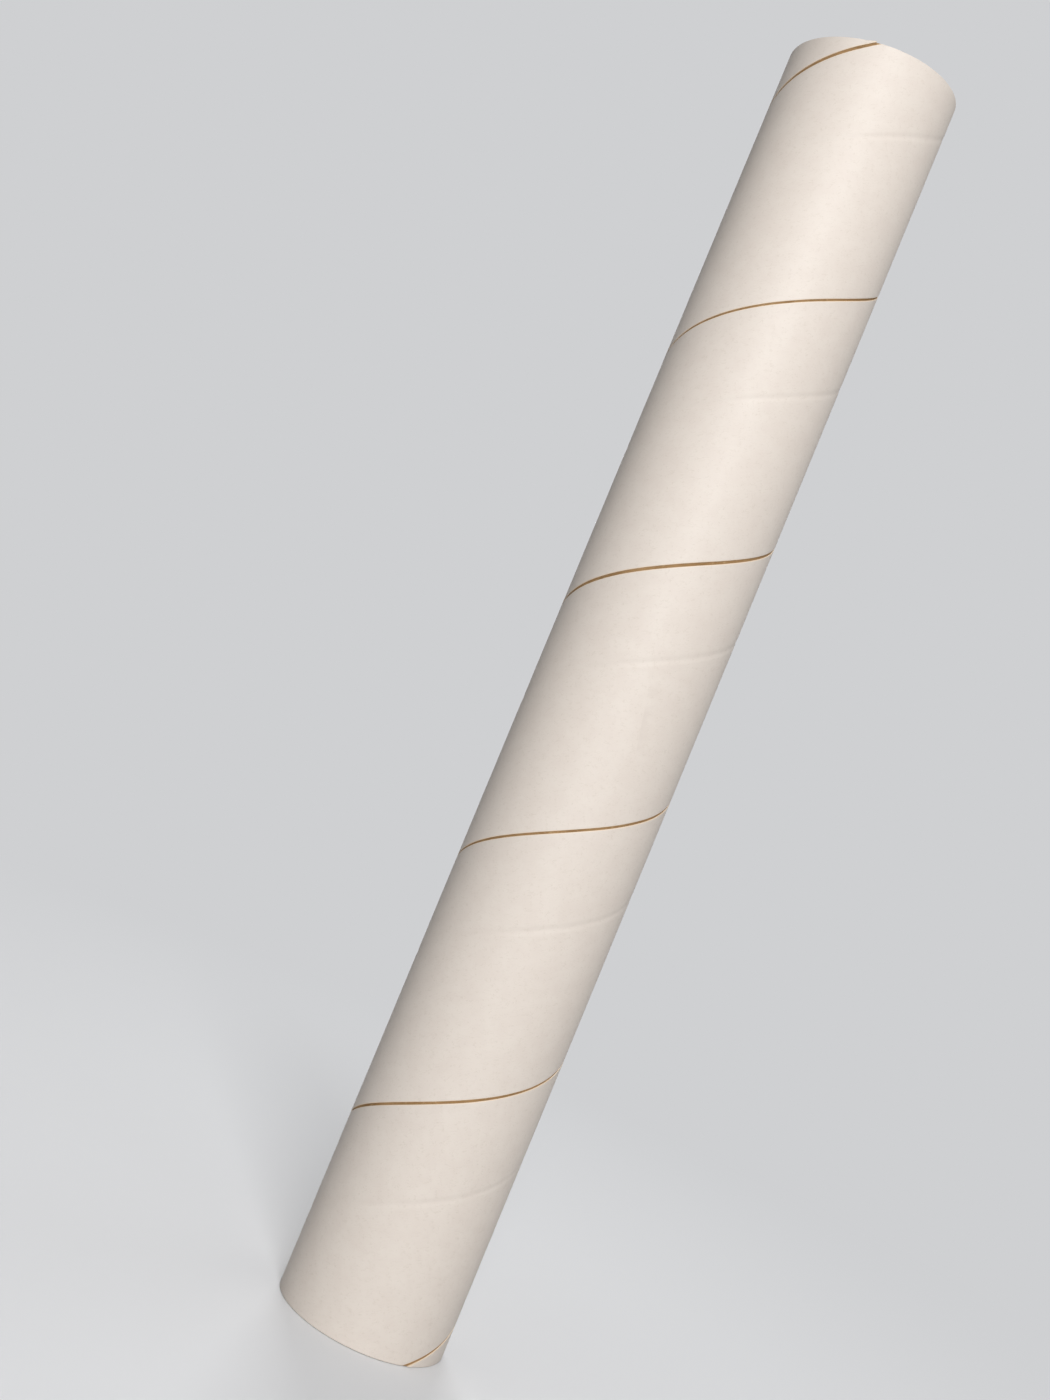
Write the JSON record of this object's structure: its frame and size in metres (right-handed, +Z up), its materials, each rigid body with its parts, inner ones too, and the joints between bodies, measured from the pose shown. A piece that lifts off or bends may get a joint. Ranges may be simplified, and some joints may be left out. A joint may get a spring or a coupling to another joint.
{
  "type": "cardboard tube",
  "caption": "Straight round cardboard mailing tube, open-ended, with a brown board wall and a white spiral-wound outer ply whose edges meet in a narrow open seam; holds rolled sheets.",
  "frame": {"origin": "centre of the tube's lower end, on the surface that it stands on", "axes": "+Z up along the tube's axis, -Y towards the viewer of the picture, +X to the viewer's right"},
  "size_m": [0.0792, 0.0792, 0.6096],
  "materials": {
    "brown_board": "uncoated brown board",
    "white_paper": "uncoated warm white paper"
  },
  "bodies": {
    "root": {"brown_tube_wall": "brown_board", "white_outer_ply": "white_paper"}
  },
  "joints": []
}
